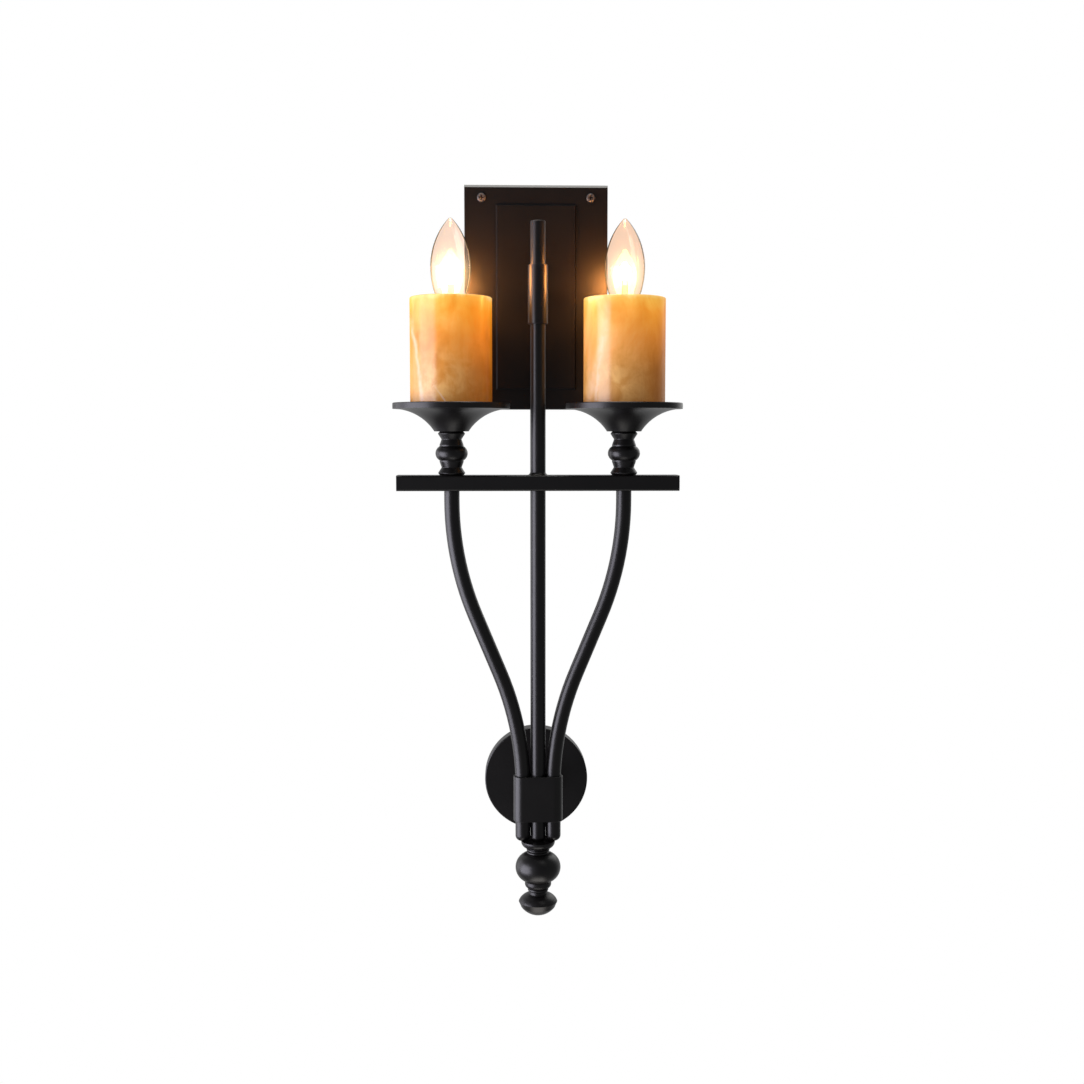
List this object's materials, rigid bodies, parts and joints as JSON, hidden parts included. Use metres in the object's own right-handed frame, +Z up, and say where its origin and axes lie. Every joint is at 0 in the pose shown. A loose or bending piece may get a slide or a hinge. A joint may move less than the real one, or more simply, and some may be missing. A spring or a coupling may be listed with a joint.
{
  "type": "wall sconce",
  "caption": "Tall wall sconce with onyx candle sleeves on turned stems, curved satin black rods, a back plate, a wall disc and a turned finial.",
  "frame": {"origin": "Centre of the wall screw pattern of the back plate, on the wall plane", "axes": "+X to the right seen from the room, +Y into the wall, +Z up"},
  "size_m": [0.254, 0.1583, 0.6593],
  "materials": {
    "black_coat": "satin black coat on steel",
    "nickel_screw": "dull nickel plate, slightly browned",
    "zinc_steel": "zinc plated steel",
    "honey_onyx": "polished honey onyx, banded and translucent",
    "holder_plastic": "ivory heat-proof plastic",
    "holder_ceramic": "unglazed white ceramic",
    "brass_contact": "plain brass sheet",
    "nickel_brass_cap": "nickel plated brass cap",
    "cap_glass": "black fused glass insulator",
    "clear_glass": "clear blown glass",
    "lit_filament": "tungsten wire, lit"
  },
  "bodies": {
    "frame": {"back_plate": "black_coat", "support_arm": "black_coat", "rod_sleeve": "black_coat", "centre_rod": "black_coat", "rod_top_plug": "black_coat", "cross_bar": "black_coat", "left_bar_cap": "black_coat", "right_bar_cap": "black_coat", "left_curved_rod": "black_coat", "right_curved_rod": "black_coat", "rod_clamp": "black_coat", "wall_disc": "black_coat", "standoff_post": "black_coat", "finial_bowl": "black_coat", "finial": "black_coat", "rod_bottom_plug": "black_coat", "plate_screws": "nickel_screw", "disc_screw": "nickel_screw", "arm_washer": "zinc_steel", "arm_nut": "zinc_steel", "finial_stud": "zinc_steel", "left_stem": "black_coat", "left_dish": "black_coat", "left_nipple": "zinc_steel", "left_bar_nut": "zinc_steel", "left_dish_nut": "zinc_steel", "left_holder_housing": "holder_plastic", "left_holder_insert": "holder_ceramic", "left_screw_shell": "brass_contact", "left_centre_contact": "brass_contact", "right_stem": "black_coat", "right_dish": "black_coat", "right_nipple": "zinc_steel", "right_bar_nut": "zinc_steel", "right_dish_nut": "zinc_steel", "right_holder_housing": "holder_plastic", "right_holder_insert": "holder_ceramic", "right_screw_shell": "brass_contact", "right_centre_contact": "brass_contact"},
    "left_candle": {"left_candle_sleeve": "honey_onyx"},
    "left_bulb_base": {"left_bulb_cap": "nickel_brass_cap", "left_cap_insulator": "cap_glass", "left_cap_contact": "brass_contact"},
    "left_bulb": {"left_bulb_glass": "clear_glass", "left_bulb_mount": "clear_glass", "left_lead_wires": "zinc_steel", "left_filament": "lit_filament"},
    "right_candle": {"right_candle_sleeve": "honey_onyx"},
    "right_bulb_base": {"right_bulb_cap": "nickel_brass_cap", "right_cap_insulator": "cap_glass", "right_cap_contact": "brass_contact"},
    "right_bulb": {"right_bulb_glass": "clear_glass", "right_bulb_mount": "clear_glass", "right_lead_wires": "zinc_steel", "right_filament": "lit_filament"}
  },
  "joints": [
    {"name": "left_candle_lift", "type": "slide", "parent": "frame", "child": "left_candle", "axis": [0, 0, 1], "range_m": [0, 0.18]},
    {"name": "left_bulb_rise", "type": "slide", "parent": "frame", "child": "left_bulb_base", "axis": [0, 0, 1], "range_m": [0, 0.01269]},
    {"name": "left_bulb_turn", "type": "hinge", "parent": "left_bulb_base", "child": "left_bulb", "pos_m": [-0.0757, -0.08, 0], "axis": [0, 0, 1], "range_deg": [0, 1620]},
    {"name": "right_candle_lift", "type": "slide", "parent": "frame", "child": "right_candle", "axis": [0, 0, 1], "range_m": [0, 0.18]},
    {"name": "right_bulb_rise", "type": "slide", "parent": "frame", "child": "right_bulb_base", "axis": [0, 0, 1], "range_m": [0, 0.01269]},
    {"name": "right_bulb_turn", "type": "hinge", "parent": "right_bulb_base", "child": "right_bulb", "pos_m": [0.0757, -0.08, 0], "axis": [0, 0, 1], "range_deg": [0, 1620]}
  ],
  "couplings": [
    {"joint": "left_bulb_rise", "follows": "left_bulb_turn", "m_per_rad": 0.00044882},
    {"joint": "right_bulb_rise", "follows": "right_bulb_turn", "m_per_rad": 0.00044882}
  ]
}
